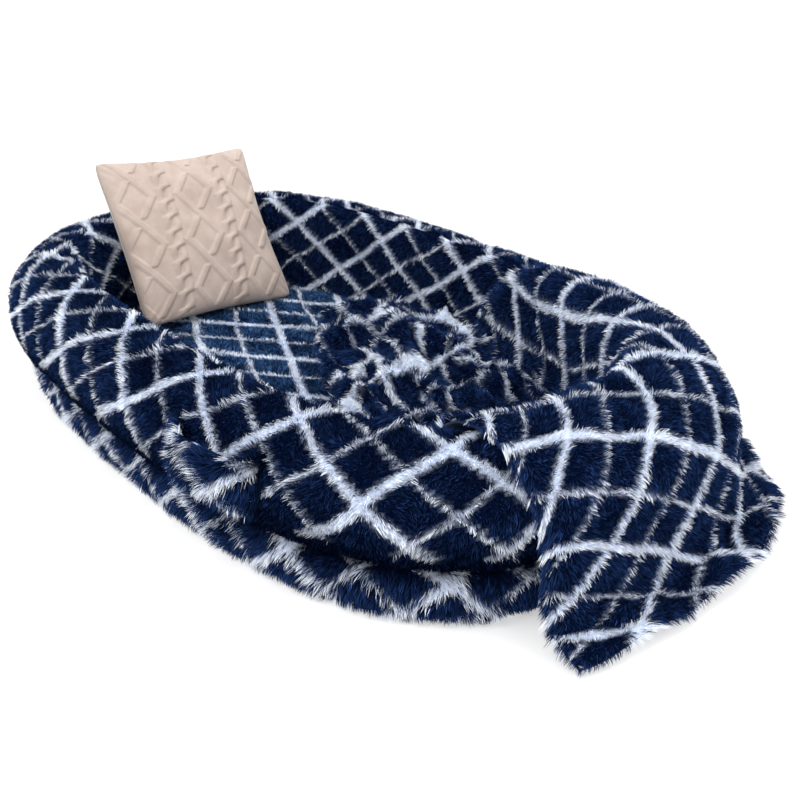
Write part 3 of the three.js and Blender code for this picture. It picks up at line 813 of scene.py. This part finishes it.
def pad_form():
    """Points and faces of the pad's cover, in rings of one outline from under it over its edge."""
    edge = outline(even_angles(181)[:-1], WALL_INSET + 0.004)
    count = len(edge)
    inner_height = PAD_EDGE_TOP - 0.002

    def ring(scale, height):
        return np.concatenate([edge * scale, np.broadcast_to(height, count)[:, None]], axis=1)

    rings = [ring(0.1, inner_height), ring(1.0, PAD_LOW.z + 0.001)]
    for scale in np.linspace(1, 0.06, 40):
        lowered = 0.004 * (scale == 1)
        rings.append(ring(scale, pad_height(edge[:, 0] * scale, edge[:, 1] * scale) - lowered))
    last = len(rings) * count
    points = np.concatenate([*rings, [[0, 0, inner_height], [0, 0, PAD_HIGH.z]]])
    index = np.arange(count)
    after = (index + 1) % count
    start = last - count
    caps = [np.stack([after, index, np.full(count, last)], axis=1),
            np.stack([start + index, start + after, np.full(count, last + 1)], axis=1)]
    quads = grid_quads(len(rings), count, wrap_columns=True)
    return points, [quads[:, ::-1], np.concatenate(caps)]


def build_pad(materials, blanket_plan):
    points, faces = pad_form()
    lines = straight_lines(PAD_LINES)
    colours = skin_colours(line_depth(points[:, :2], lines))
    skin = closed_mesh("pad_skin", points, faces, materials["skin"], "root", colours)
    stands_padded("pad_cover")
    step = 0.012
    x, y = np.meshgrid(np.arange(-HALF_LENGTH, HALF_LENGTH, step), np.arange(-HALF_WIDTH, HALF_WIDTH, step),
                       indexing="ij")
    grid = np.stack([x, y, pad_height(x, y)], axis=-1)
    normals = np.zeros(grid.shape)
    normals[..., 2] = 1
    hidden = covered_by_blanket(grid, blanket_plan)
    inset = inset_of(x, y)
    share = (inset > WALL_INSET - 0.004) * (1 - 0.35 * hidden)
    at_wall = 1 - smoothstep(inset, WALL_INSET, WALL_INSET + 0.03)
    pattern = wandered(grid[..., :2], grid, 454)
    patch = Patch(grid, normals, pattern, lines, share=share * (1 + at_wall), flat=hidden * 0.95,
                  length=1 + 0.5 * at_wall)
    add_pile("pad_pile", patch, materials, "root", "short_plush", 118000, 0.0095, 0.0016, 404,
             upright=0.9, droop=0, swirl=0.4, lock=0.009, ragged=0.0012, tone=PAD_TONE, widen=0.0022)


# ---- book pocket

POCKET_SIDES = (0.285, 0.515)
POCKET_HEIGHTS = (0.172, 0.268)             # sewn floor and mouth
POCKET_STAND_OFF = 0.052
POCKET_SHARES = np.meshgrid(np.linspace(0, 1, 49), np.linspace(0, 1, 25), indexing="ij")


def rim_face_inset(height):
    sine = (height - RIM_BULGE) / (RIM_TOP - RIM_BULGE)
    return CREST_INSET * (1 - np.sqrt(1 - sine ** 2))


def pocket_grid(depth):
    """The pocket's cloth, from its sewn floor up to the mouth; depth moves it towards the roll."""
    left, right = POCKET_SIDES
    floor_height, mouth_height = POCKET_HEIGHTS
    across, up = POCKET_SHARES
    x = left + (right - left) * across
    height = floor_height + (mouth_height - floor_height) * up
    fullness = np.minimum(1, 1.5 * np.sin(math.pi * across)) * up ** 0.55
    inset = rim_face_inset(height) - (0.007 + POCKET_STAND_OFF * fullness) + depth
    angle = -np.arccos((x / HALF_LENGTH) ** (OUTLINE_POWER / 2))
    plan = outline(angle, inset)
    return np.concatenate([plan, height[..., None]], axis=-1)


def build_pocket(materials):
    outside = pocket_grid(0.001)
    inside = pocket_grid(0.005)
    slope = 1.25                     # of length down the cloth to its height
    pattern = np.stack([outside[..., 0] - 0.4, -(outside[..., 2] - 0.22) * slope], axis=-1)
    lines = diamond_lines(*POCKET_DIAMOND)
    across, up = POCKET_SHARES
    mouth = smoothstep(up, 0.8, 1.0)
    sides = smoothstep(np.abs(across - 0.5), 0.38, 0.5)
    # Painted shadow in the side seams: the pocket's colours darken towards its sides.
    shade = 1 - 0.8 * sides
    colours = skin_colours(line_depth(pattern, lines), shade)
    skin = cloth_shell("book_pocket_skin", outside, inside, materials["skin"], "root",
                       colours)
    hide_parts("book_pocket")
    normals = facing(grid_normals(outside, False), 1, -1)
    comb = np.zeros(outside.shape)
    comb[..., 0] = 0.9 * sides * np.sign(across - 0.5)
    comb[..., 2] = 0.6 * mouth
    patch = Patch(outside, normals, pattern, lines, comb=comb, share=1 + 1.2 * mouth + 2.0 * sides,
                  length=1 - 0.35 * sides, shade=shade)
    # The pile inside the pouch is painted darker still, as the shade inside it.
    inner_patch = Patch(inside, -normals, pattern, lines, shade=0.8 * shade)
    piles = (("book_pocket_pile", patch, 125000, 0.024, 505),
             ("book_pocket_inner_pile", inner_patch, 110000, 0.012, 515))
    for name, face, density, length, seed in piles:
        add_pile(name, face, materials, "root", "long_plush", density, length, STRAND_WIDTH, seed,
                 tone=1.6, ragged=0.0028)


# ---- blanket

BLANKET_START = np.array([[0.400, -0.262], [0.120, -0.070], [-0.140, 0.110], [-0.215, 0.315]])
BLANKET_BEND = np.array([[0.690, -0.222], [0.600, 0.020], [0.520, 0.210], [0.425, 0.345]])
BLANKET_HEM = (-0.255, 1.117, -0.108)       # first and last angle, inset
MOUND_CENTRE = (0.110, 0.120)
MOUND_REACH = (0.260, 0.190)
MOUND_RISE = 0.096
BUNCH_EDGE = (0.17, 0.30)                   # insets where the bunch begins and is full
CLOTH_GAP = 0.003
BLANKET_ROWS = 150
BLANKET_COLUMNS = 112


def blanket_line():
    """Inset and height of the cloth's underside: nest, inner wall, crest, outside, floor."""
    top = RIM_TOP
    line = np.array([
        [0.520, PAD_HIGH.z + 0.002], [0.260, PAD_HIGH.z], [0.222, PAD_EDGE_TOP + 0.014],
        [0.204, top - 0.200], [0.194, top - 0.140], [0.186, top - 0.070], [0.172, top - 0.015],
        [0.150, top + 0.006], [0.115, top + 0.008], [0.070, top - 0.006], [0.025, top - 0.046],
        [-0.006, top - 0.100], [-0.014, RIM_BULGE], [-0.017, 0.120], [-0.024, 0.070],
        [-0.044, 0.026], [-0.080, 0.008], [-0.125, 0.004],
    ])
    return line[::-1]


def cloth_height(inset):
    line = blanket_line()
    fine = np.linspace(-0.2, 0.56, 1521)
    height = np.interp(fine, line[:, 0], line[:, 1])
    window = np.hanning(33)
    padded = np.pad(height, 16, mode="edge")
    height = np.convolve(padded, window / window.sum(), mode="valid")
    return np.interp(inset, fine, height)


def spline_through(points, share):
    """Centripetal Catmull-Rom curve through the points; share runs from 0 to 1."""
    count = len(points)
    spot = np.clip(share * (count - 1), 0, count - 1 - 1e-9)
    first = np.floor(spot).astype(int)
    weight = (spot - first)[:, None]
    padded = np.concatenate([[2 * points[0] - points[1]], points, [2 * points[-1] - points[-2]]])
    p = [padded[first + k] for k in range(4)]
    gap = [np.linalg.norm(p[k + 1] - p[k], axis=1)[:, None] ** 0.5 for k in range(3)]
    out = (p[1] - p[0]) / gap[0] - (p[2] - p[0]) / (gap[0] + gap[1]) + (p[2] - p[1]) / gap[1]
    into = (p[2] - p[1]) / gap[1] - (p[3] - p[1]) / (gap[1] + gap[2]) + (p[3] - p[2]) / gap[2]
    out = out * gap[1]
    into = into * gap[1]
    square = -3 * p[1] + 3 * p[2] - 2 * out - into
    cube = 2 * p[1] - 2 * p[2] + out + into
    return p[1] + out * weight + square * weight ** 2 + cube * weight ** 3


def blanket_base():
    """The smooth drape of the CAD blanket's underside, as a fine grid with even steps lengthwise."""
    share = np.linspace(0, 1, BLANKET_COLUMNS)
    start = spline_through(BLANKET_START, share)
    bend = spline_through(BLANKET_BEND, share)
    hem_angle, last_angle, hem_inset = BLANKET_HEM
    hem = outline(even_angles(BLANKET_COLUMNS, hem_angle, last_angle), hem_inset)
    t = np.linspace(0, 1, 301)[:, None, None]
    plan = start * (1 - t) ** 2 + 2 * bend * t * (1 - t) + hem * t ** 2
    inset = inset_of(plan[..., 0], plan[..., 1])
    from_mound = (plan - MOUND_CENTRE) / MOUND_REACH
    mound = np.exp(-from_mound[..., 0] ** 2 - from_mound[..., 1] ** 2)
    height = cloth_height(inset) + MOUND_RISE * mound * smoothstep(inset, 0.190, 0.300) + CLOTH_GAP
    fine = np.concatenate([plan, height[..., None]], axis=-1)
    return np.stack([resample(fine[:, c], BLANKET_ROWS) for c in range(BLANKET_COLUMNS)], axis=1)


def blanket_folds(base, along, across):
    """How far the cloth stands off the smooth drape, always outwards."""
    pattern = np.stack([along, across], axis=-1)
    share_along = along / along.max()
    inset = inset_of(base[..., 0], base[..., 1])
    bunch = smoothstep(inset, *BUNCH_EDGE)
    rough = np.abs(smooth_noise(pattern, 0.24, 61)) ** 0.8
    fine = np.abs(smooth_noise(pattern, 0.13, 62))
    crumple = bunch * (0.045 * (1 - rough) ** 2 + 0.022 * (1 - fine) ** 2)
    warped = across + 0.02 * smooth_noise(pattern, 0.5, 64)
    hem = smoothstep(-inset, 0.0, 0.05) * (0.010 + 0.010 * np.sin(warped * 2 * math.pi / 0.21))
    soft = 0.004 * (1 + smooth_noise(pattern, 0.20, 63))
    return crumple + hem + soft * smoothstep(share_along, 0.0, 0.2)


def build_blanket(materials, base):
    rows, columns = base.shape[:2]
    lengths = [arc_lengths(base[:, c])[-1] for c in range(columns)]
    widths = [arc_lengths(base[r])[-1] for r in range(rows)]
    along = np.broadcast_to(np.linspace(0, 1, rows)[:, None] * np.mean(lengths), (rows, columns))
    across = np.linspace(-0.5, 0.5, columns)[None, :] * np.mean(widths) * np.ones((rows, 1))
    normals = facing(grid_normals(base, False), 2, 1)
    lifted = base + normals * blanket_folds(base, along, across)[..., None]
    lifted[..., 2] = np.maximum(lifted[..., 2], 0.004)
    normals = facing(grid_normals(lifted, False), 2, 1)
    bunch = smoothstep(inset_of(base[..., 0], base[..., 1]), *BUNCH_EDGE)
    tangle = 0.026 * bunch[..., None] * noise_pair(base, 0.15, 658)
    pattern = wandered(np.stack([across, along], axis=-1), lifted, 656) + tangle
    lines = straight_lines(BLANKET_LINES)

    def layer(name, low, high, material, slot, colours=None):
        piece = cloth_shell(name, lifted + normals * high, lifted + normals * low, materials[material],
                            "blanket", colours)
        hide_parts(slot)
        return piece

    colours = skin_colours(line_depth(pattern, lines))
    cloth = layer("blanket_cloth", 0.0045, 0.0085, "skin", "blanket_plush", colours)
    lining = layer("blanket_lining_cloth", 0.0, 0.0035, "lining", "blanket_lining")
    surface = lifted + normals * 0.008
    comb = np.zeros(surface.shape)
    edge = np.zeros((rows, columns))
    edge_reach = 0.03
    for axis, sign in ((0, -1), (0, 1), (1, -1), (1, 1)):
        step = np.gradient(surface, axis=axis)
        place = np.arange(surface.shape[axis]) * np.mean(np.linalg.norm(step, axis=-1))
        near = 1 - smoothstep(place[::-sign], 0.0, edge_reach)
        near = np.expand_dims(near, 1 - axis)
        comb += sign * unit(step) * near[..., None] * 1.2
        edge = np.maximum(edge, near)
    comb[..., 2] -= 0.75 * edge
    patch = Patch(surface, normals, pattern, lines, comb=comb, share=1 + 1.2 * edge,
                  length=1 + 0.9 * edge + 0.35 * bunch)
    pieces = add_pile("blanket_pile", patch, materials, "blanket", "blanket_plush", 132000, 0.0135, 0.0013,
                      606, tone=1.5)
    flat = (float(np.mean(widths)), float(along.max()))
    return cloth, lining, pieces, flat


# ---- pillow

PILLOW_CENTRE = np.array([-0.604, 0.026, 0.275])
PILLOW_SIZE = 0.442
PILLOW_HALF_THICKNESS = 0.066
PILLOW_CLOTH = 0.003
PILLOW_PULL_IN = 0.068
PILLOW_LEAN = math.radians(33)
PILLOW_YAW = math.radians(2)
PILLOW_ROLL = math.radians(-3.5)


def turn_matrix(axis, angle):
    c, s = math.cos(angle), math.sin(angle)
    turns = {
        "y": [[c, 0, s], [0, 1, 0], [-s, 0, c]],
        "z": [[c, -s, 0], [s, c, 0], [0, 0, 1]],
    }
    return np.array(turns[axis])


def pillow_place(local):
    """From the pillow's own frame (X right, Y up, Z out of its front) to its place on the bed."""
    upright = np.array([[0, 0, 1], [1, 0, 0], [0, 1, 0]])
    turn = turn_matrix("z", PILLOW_YAW) @ turn_matrix("y", -PILLOW_LEAN) @ upright
    turn = turn @ turn_matrix("z", PILLOW_ROLL)
    return local @ turn.T + PILLOW_CENTRE


def band(distance, half_width):
    """A rounded raised band: 1 on its middle line, 0 outside."""
    return np.clip(1 - (distance / half_width) ** 2, 0, 1) ** 0.7


def rope(x, y, period, reach, half_width):
    """A cable of two strands that swap sides; the one that goes down to the left lies over the other."""
    relief = np.full(x.shape, -0.55)
    phase = 2 * math.pi * y / period
    steepness = 1.8
    for side in (-1, 1):
        swing = np.tanh(steepness * np.sin(phase))
        lean = side * reach * (1 - swing ** 2) * steepness * np.cos(phase) * 2 * math.pi / period
        distance = (x - side * reach * swing / math.tanh(steepness)) / np.sqrt(1 + lean ** 2)
        over = 0.66 + 0.40 * side * np.cos(phase)
        relief = np.maximum(relief, (over + 0.55) * band(distance, half_width) ** 0.7 - 0.55)
    return relief * smoothstep(-np.abs(x), -(reach + half_width + 0.004), -(reach + half_width))


def knit_relief(x, y):
    """Height of the cables and diamonds of the knit, up to 1; the columns lean a little."""
    x = x + 0.0275 - 0.0875 * y
    relief = np.zeros(x.shape)
    for middle in (-0.065, 0.095):
        cable = rope(x - middle, y, 0.079, 0.0126, 0.0112)
        relief = np.where(np.abs(x - middle) < 0.029, cable, relief)
    crossing_gap = 0.126
    half_wide = 0.046
    wave = (y / (2 * crossing_gap) + 0.111) % 1.0
    zigzag = np.abs(2 * wave - 1) * 2 - 1
    slope = math.atan2(2 * half_wide, crossing_gap)
    for middle in (-0.144, 0.015, 0.174, 0.333):
        for side in (-1, 1):
            distance = (x - middle - side * half_wide * zigzag) * math.cos(slope)
            leans_left = (wave < 0.5) == (side > 0)
            ends = smoothstep(np.abs(zigzag), 0.13, 0.20)
            shown = np.where(leans_left, 1.0, ends)
            cords = 1 - 0.18 * np.exp(-(distance / 0.0022) ** 2)
            relief = np.maximum(relief, 0.66 * shown * cords * band(distance, 0.0100))
    return relief


def pillow_surface(cells, side, lift, relief):
    """One face of the pillow in its own frame: crowned, with its sides pulled in between the corners."""
    even = np.linspace(-1, 1, cells + 1)
    spaced = 0.35 * even + 0.65 * np.sin(even * math.pi / 2)
    v, u = np.meshgrid(spaced, spaced, indexing="ij")
    right_pull = PILLOW_PULL_IN * (1 + 0.35 * u)
    top_pull = PILLOW_PULL_IN * (1 + 0.35 * v)
    corner = np.abs(u * v) ** 4
    rounding = 1 - 0.035 * np.abs(u * v) ** 10
    x = PILLOW_SIZE / 2 * u * (1 - right_pull * (1 - v ** 2)) * rounding
    y = PILLOW_SIZE / 2 * v * (1 - top_pull * (1 - u ** 2)) * rounding
    crown = (np.clip(1 - u ** 2, 0, 1) * np.clip(1 - v ** 2, 0, 1)) ** 0.42
    height = (PILLOW_HALF_THICKNESS - PILLOW_CLOTH) * crown
    plan = np.stack([x, y], axis=-1)
    wrinkle = 0.0035 * smooth_noise(plan, 0.16, 71 + side) * smoothstep(crown, 0.1, 0.5)
    gather_lines = 0.002 * np.sin((u ** 2 - v ** 2) * 28) * corner * smoothstep(crown, 0.0, 0.2)
    height = height + wrinkle + gather_lines
    if relief:
        height = height + relief * knit_relief(x, y) * smoothstep(crown, 0.05, 0.30)
    return np.stack([x, y, side * (height + lift)], axis=-1)


def build_pillow(materials):
    jobs = (("pillow_front_cover", 1, 222, 0.0072, "knit", "pillow_front", "knit"),
            ("pillow_back_cover", -1, 120, 0.0, "pillow_back", "pillow_back", "pillow_back_cloth"))
    for name, side, cells, relief, material, node, slot in jobs:
        outside = pillow_place(pillow_surface(cells, side, 0.0026, relief))
        inside = pillow_place(pillow_surface(cells, side, 0.0003, 0))
        piece = cloth_shell(name, outside, inside, materials[material], "pillow")
        stands_padded(node)


# ---- zip

def box_points(low, high):
    corners = np.array([[x, y, z] for x in (0, 1) for y in (0, 1) for z in (0, 1)])
    return np.asarray(low) + corners * (np.asarray(high) - np.asarray(low))


BOX_FACES = np.array([[0, 1, 3, 2], [4, 6, 7, 5], [0, 4, 5, 1], [2, 3, 7, 6], [0, 2, 6, 4], [1, 5, 7, 3]])


def build_zip(materials):
    """The closed coil: teeth from both tapes that reach past the middle, one after the other."""
    pitch = 0.0016
    count = int((COIL_HIGH.x - COIL_LOW.x) / pitch)
    points = []
    faces = []
    for k in range(count):
        x = COIL_LOW.x + (k + 0.5) * pitch
        side = 1 if k % 2 else -1
        near = ZIP_HEIGHT - side * 0.0012
        far = ZIP_HEIGHT + side * 0.0029
        low = (x - 0.0006, COIL_LOW.y + 0.0001, min(near, far))
        high = (x + 0.0006, COIL_HIGH.y, max(near, far))
        faces.append(BOX_FACES + 8 * k)
        points.append(box_points(low, high))
    coil = closed_mesh("zip_coil_teeth", np.concatenate(points), [np.concatenate(faces)], materials["coil"],
                       "root", smooth=False)
    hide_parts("zip_coil")


# ---- carried CAD nodes

def dress_nodes(materials):
    finishes = {
        "sole": ["anti_slip_sole"], "foam": ["base_foam"], "liner": ["rim_liner"],
        "fibre": ["base_filling", "pad_core", "rim_filling", "pillow_inner"],
        "tape": ["zip_tape_upper", "zip_tape_lower"], "pillow_zip": ["pillow_zip_chain"],
        "metal": ["zip_stop_right", "zip_stop_left", "zip_slider", "zip_pull", "pillow_zip_slider"],
    }
    for finish, nodes in finishes.items():
        for node in nodes:
            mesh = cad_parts[node].data
            mesh.materials.clear()
            mesh.materials.append(materials[finish])


def make_materials():
    return {
        "skin": painted_material("plush_skin", 0.9, 0.0),
        "pile": painted_material("plush_pile", 0.6, 0.0, 0.85, 1.15, 70, 0),
        "lining": mottled_material("lining", (0.010, 0.020, 0.055), (0.020, 0.036, 0.088), 0.85, 160, 0.4,
                                   0.0008, sheen=0.1, specular=0.1),
        "knit": knit_material(),
        "pillow_back": woven_material("pillow_back", (0.48, 0.385, 0.33), (0.58, 0.475, 0.41), 0.9, 0.0016,
                                      0.4, 0.3),
        "sole": dotted_material("sole", (0.012, 0.014, 0.018), (0.03, 0.03, 0.034), 0.012),
        "fibre": mottled_material("fibre", (0.80, 0.80, 0.77), (0.92, 0.92, 0.90), 0.95, 45, 0.9, 0.006,
                                  sheen=0.4),
        "foam": mottled_material("foam", (0.74, 0.68, 0.48), (0.84, 0.78, 0.60), 0.9, 320, 0.7, 0.002),
        "liner": woven_material("liner", (0.68, 0.70, 0.73), (0.80, 0.82, 0.84), 0.85, 0.001, 0.3),
        "tape": woven_material("tape", (0.006, 0.010, 0.028), (0.016, 0.024, 0.056), 0.8, 0.0012, 0.6),
        "coil": mottled_material("coil", (0.006, 0.010, 0.026), (0.012, 0.018, 0.04), 0.35, 400, 0.1,
                                 0.0002, specular=0.5),
        "metal": mottled_material("metal", (0.50, 0.51, 0.53), (0.62, 0.63, 0.65), 0.28, 900, 0.15, 0.0001,
                                  metallic=1.0, stretch=(1, 1, 6)),
        "pillow_zip": woven_material("pillow_zip", (0.46, 0.37, 0.31), (0.60, 0.49, 0.42), 0.6, 0.0015,
                                     0.8),
    }


# ---- assembly

set_camera()
set_light()
set_floor()
materials = make_materials()
blanket_under = blanket_base()
blanket_plan = blanket_under[..., :2]
build_rim(materials, blanket_plan)
build_base(materials, blanket_plan)
build_pad(materials, blanket_plan)
build_pocket(materials)
cloth, lining, blanket_piles, flat = build_blanket(materials, blanket_under)
build_pillow(materials)
build_zip(materials)
dress_nodes(materials)
